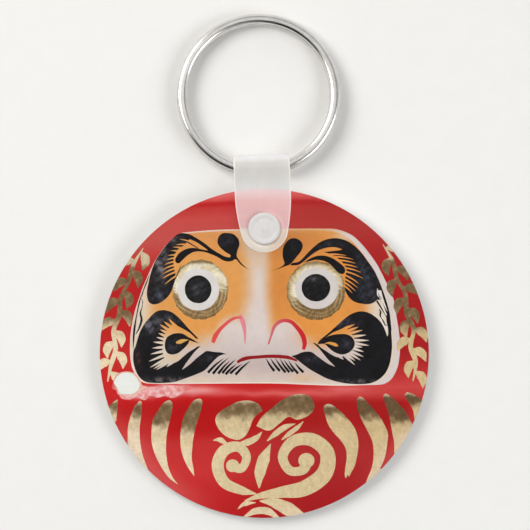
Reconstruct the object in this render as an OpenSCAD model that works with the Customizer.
// Key fob: a laminated picture disc held by a snap strap, with a split ring in the strap's loop.
// It lies on its back, as on a table: +Z is out of the printed face, +Y runs towards the ring.
// The origin is the centre of the disc's back face. All sizes are in millimetres.

/* [Disc] */
// Diameter of the disc (2.25 inch)
disc_d = 57.15; // [54:0.05:60]
// Thickness of the rigid white core
core_t = 1.8; // [1.2:0.1:2.2]
// Thickness of the printed sheet under the front film
print_t = 0.15; // [0.1:0.05:0.3]
// Thickness of the clear film on each side
film_t = 0.15; // [0.1:0.05:0.3]

/* [Snap] */
// Distance from the disc's centre to the snap
snap_y = 21.65; // [19:0.05:23]
// Diameter of the snap's post
post_d = 3.4; // [2.6:0.1:3.6]
// Diameter of the snap's front head
cap_d = 5.6; // [5:0.1:6.6]
// Height of the front head's rim above the strap
cap_h = 0.6; // [0.4:0.1:1]
// Diameter of the snap's back socket
socket_d = 6; // [5.2:0.1:7]
// Height of the back socket below the strap
socket_h = 0.75; // [0.6:0.05:1.2]

/* [Strap] */
// Width of the strap at its loop
strap_w = 10; // [8:0.1:12]
// Thickness of the strap
strap_t = 0.65; // [0.4:0.05:0.9]
// Radius of the strap's rounded end
strap_end_r = 4.15; // [3.6:0.05:4.8]
// Distance from the snap to the centre of the loop
loop_y = 10.6; // [10:0.05:13]
// Radius of the loop's inside
loop_r = 1.7; // [1.65:0.05:2.4]
// How far the strap leans to the left of the disc's centre line
lean = 2.4; // [-10:0.1:10]

/* [Split ring] */
// Outside diameter of the ring
ring_d = 28.35; // [25:0.05:30]
// Width of its wire across the ring
wire_w = 1.75; // [1.4:0.05:1.9]
// Thickness of its wire along the ring's axis
wire_t = 1.2; // [1:0.05:1.2]
// Length of the bend that joins the two turns, in degrees round the ring
joggle = 24; // [18:1:40]

/* [Hidden] */

$fn = 96;
RUN_CLEARANCE = 0.08;
SLIDE_GAP = 0.1;
BIG = 60;

disc_r = disc_d / 2;
post_r = post_d / 2;
hole_r = post_r + RUN_CLEARANCE;
disc_t = 2 * film_t + core_t + print_t;
mid_z = disc_t / 2;

// The strap's own frame has its origin on the snap's axis, halfway through the disc.
leg_z = mid_z + SLIDE_GAP;
leg_top = leg_z + strap_t;
loop_out = loop_r + strap_t;
leg_bend_y = loop_y - 5;
taper_y = 6;

// The ring pivots in the loop about a line halfway up the bow of the wire that is inside it.
wire_path_r = (ring_d - wire_w) / 2;
wire_bow = wire_path_r - sqrt(pow(wire_path_r, 2) - pow(strap_w / 2, 2));
ring_offset = wire_path_r - wire_bow / 2;
TURN_GAP = 0.06;
turn_z = (wire_t + TURN_GAP) / 2;
ring_half_t = turn_z + wire_t / 2;
LOWER_TURN_SHIFT = 0.1;

// The disc's lower rim and the back socket touch the table, and the ring droops to it.
socket_drop = leg_top + socket_h - mid_z;
table_slope = atan(socket_drop / (disc_r + snap_y + socket_d / 2));
hinge_height = (mid_z + (snap_y + loop_y + disc_r) * tan(table_slope)) * cos(table_slope);
ring_reach = ring_offset + ring_d / 2;
ring_tilt = table_slope + asin(hinge_height / norm([ring_reach, ring_half_t]))
            - atan2(ring_half_t, ring_reach);

// One flat layer of the disc, with the hole for the snap's post.
module disc_layer(z, t) {
    difference() {
        translate([0, 0, z])
            cylinder(h = t, r = disc_r, $fn = 180);
        translate([0, snap_y, z - 1])
            cylinder(h = t + 2, r = hole_r);
    }
}

module back_film() {
    color([0.93, 0.93, 0.93])
        disc_layer(0, film_t);
}

module core_plate() {
    color([0.95, 0.94, 0.92])
        disc_layer(film_t, core_t);
}

module print_sheet() {
    color([0.76, 0.13, 0.15])
        disc_layer(film_t + core_t, print_t);
}

module front_film() {
    color([0.96, 0.96, 0.98, 0.35])
        disc_layer(film_t + core_t + print_t, film_t);
}

// Places a shape of the strap's own frame on the disc.
module at_strap() {
    translate([0, snap_y, mid_z])
        rotate([0, 0, lean])
            children();
}

// A band's side view: two legs that spread a little towards a round loop.
// r is the loop's radius here, and z is the legs' distance from the middle.
module band_side(r, z, y_end) {
    spread = atan((r - z) / (loop_y - leg_bend_y));
    tangent = [loop_y - r * sin(spread), r * cos(spread)];
    translate([loop_y, 0])
        circle(r = r);
    polygon([
        [y_end, -z], [leg_bend_y, -z], [tangent[0], -tangent[1]],
        [tangent[0], tangent[1]], [leg_bend_y, z], [y_end, z]
    ]);
}

// The band's outline from the front: parallel sides that taper to a rounded end.
module band_front() {
    corner = [strap_w / 2, taper_y];
    touch = atan2(corner[1], corner[0]) - acos(strap_end_r / norm(corner));
    edge = strap_end_r * [cos(touch), sin(touch)];
    circle(r = strap_end_r);
    polygon([
        edge, corner, [corner[0], loop_y + loop_out + 1],
        [-corner[0], loop_y + loop_out + 1], [-corner[0], corner[1]], [-edge[0], edge[1]]
    ]);
}

module strap() {
    color([0.93, 0.92, 0.93, 0.85])
        at_strap()
            difference() {
                intersection() {
                    rotate([90, 0, 90])
                        linear_extrude(height = BIG, center = true)
                            difference() {
                                band_side(loop_out, leg_top, -strap_end_r - 1);
                                band_side(loop_r, leg_z, -strap_end_r - 2);
                            }
                    linear_extrude(height = BIG, center = true)
                        band_front();
                }
                cylinder(h = BIG, r = hole_r, center = true);
            }
}

// Front head: a rounded rim, a sunk ring and a low dome with a nub. Its post goes through the disc.
module snap_cap() {
    rim_r = cap_d / 2;
    groove_out = rim_r - 0.75;
    dome_r = groove_out - 0.35;
    nub_r = 0.5;
    stud_r = post_r - 0.55;
    edge_r = 0.25;
    color([0.95, 0.94, 0.93])
        at_strap() {
            rotate_extrude()
                polygon([
                    [0, leg_top], [rim_r, leg_top], [rim_r, leg_top + cap_h - edge_r],
                    for (a = [15:15:90])
                        [rim_r - edge_r + edge_r * cos(a), leg_top + cap_h - edge_r + edge_r * sin(a)],
                    [groove_out, leg_top + cap_h], [groove_out - 0.15, leg_top + cap_h * 0.45],
                    [dome_r, leg_top + cap_h * 0.45], [dome_r - 0.1, leg_top + cap_h * 0.7],
                    [nub_r + 0.2, leg_top + cap_h * 0.8], [nub_r, leg_top + cap_h],
                    [0, leg_top + cap_h + 0.1]
                ]);
            translate([0, 0, -leg_z])
                cylinder(h = leg_z + leg_top, r = post_r);
            translate([0, 0, -leg_top - socket_h / 2])
                cylinder(h = leg_top + socket_h / 2, r = stud_r);
        }
}

// Back socket: a collar through the strap's back leg and a flange that backs the leg.
module snap_socket() {
    socket_r = socket_d / 2;
    bore_r = post_r - 0.5;
    edge_r = 0.3;
    color([0.94, 0.93, 0.92])
        at_strap()
            mirror([0, 0, 1])
                rotate_extrude()
                    polygon([
                        [bore_r, leg_z], [post_r, leg_z], [post_r, leg_top], [socket_r, leg_top],
                        [socket_r, leg_top + socket_h - edge_r],
                        for (a = [15:15:90])
                            [socket_r - edge_r + edge_r * cos(a),
                             leg_top + socket_h - edge_r + edge_r * sin(a)],
                        [0, leg_top + socket_h], [0, leg_top + socket_h / 2 + 0.05],
                        [bore_r, leg_top + socket_h / 2 + 0.05]
                    ]);
}

// The wire runs once round below, climbs the joggle and runs once round above.
// step is 0 on the lower turn and 1 on the upper one, with a smooth rise between.
END_GAP = 2;
first_turn = 360 - joggle - END_GAP;
wire_sweep = 360 + first_turn - END_GAP;
JOGGLE_MIDDLE = 180;
RING_STEPS = 100;
ARC_STEP = 30;

function smooth(t) = let (u = min(max(t, 0), 1)) u * u * (3 - 2 * u);
function turn_step(s) = smooth((s - first_turn) / joggle);

// The wire is flattened: two half-round edges and flat faces.
wire_section = concat(
    [for (a = [-90:ARC_STEP:90]) [wire_w / 2 - wire_t / 2 + wire_t / 2 * cos(a), wire_t / 2 * sin(a)]],
    [for (a = [90:ARC_STEP:270]) [wire_t / 2 - wire_w / 2 + wire_t / 2 * cos(a), wire_t / 2 * sin(a)]]
);

function wire_ring(s) = let (
    turn = JOGGLE_MIDDLE - first_turn - joggle / 2 + s,
    step = turn_step(s),
    shift = LOWER_TURN_SHIFT * (1 - step)
) [for (p = wire_section) [
    (wire_path_r + p[0]) * sin(turn) - shift,
    (wire_path_r + p[0]) * cos(turn) - shift,
    turn_z * (2 * step - 1) + p[1]
]];

module split_ring() {
    n = len(wire_section);
    points = [for (i = [0:RING_STEPS]) each wire_ring(wire_sweep * i / RING_STEPS)];
    sides = [for (i = [0:RING_STEPS - 1], j = [0:n - 1])
        let (k = (j + 1) % n)
        each [
            [i * n + j, (i + 1) * n + j, (i + 1) * n + k],
            [i * n + j, (i + 1) * n + k, i * n + k]
        ]];
    first_cap = [for (j = [0:n - 1]) j];
    last_cap = [for (j = [n - 1:-1:0]) RING_STEPS * n + j];
    color([0.78, 0.77, 0.75])
        at_strap()
            translate([0, loop_y, 0])
                rotate([-ring_tilt, 0, 0])
                    translate([0, ring_offset, 0])
                        polyhedron(points, concat(sides, [first_cap, last_cap]));
}

core_plate();
print_sheet();
front_film();
back_film();
strap();
snap_cap();
snap_socket();
split_ring();
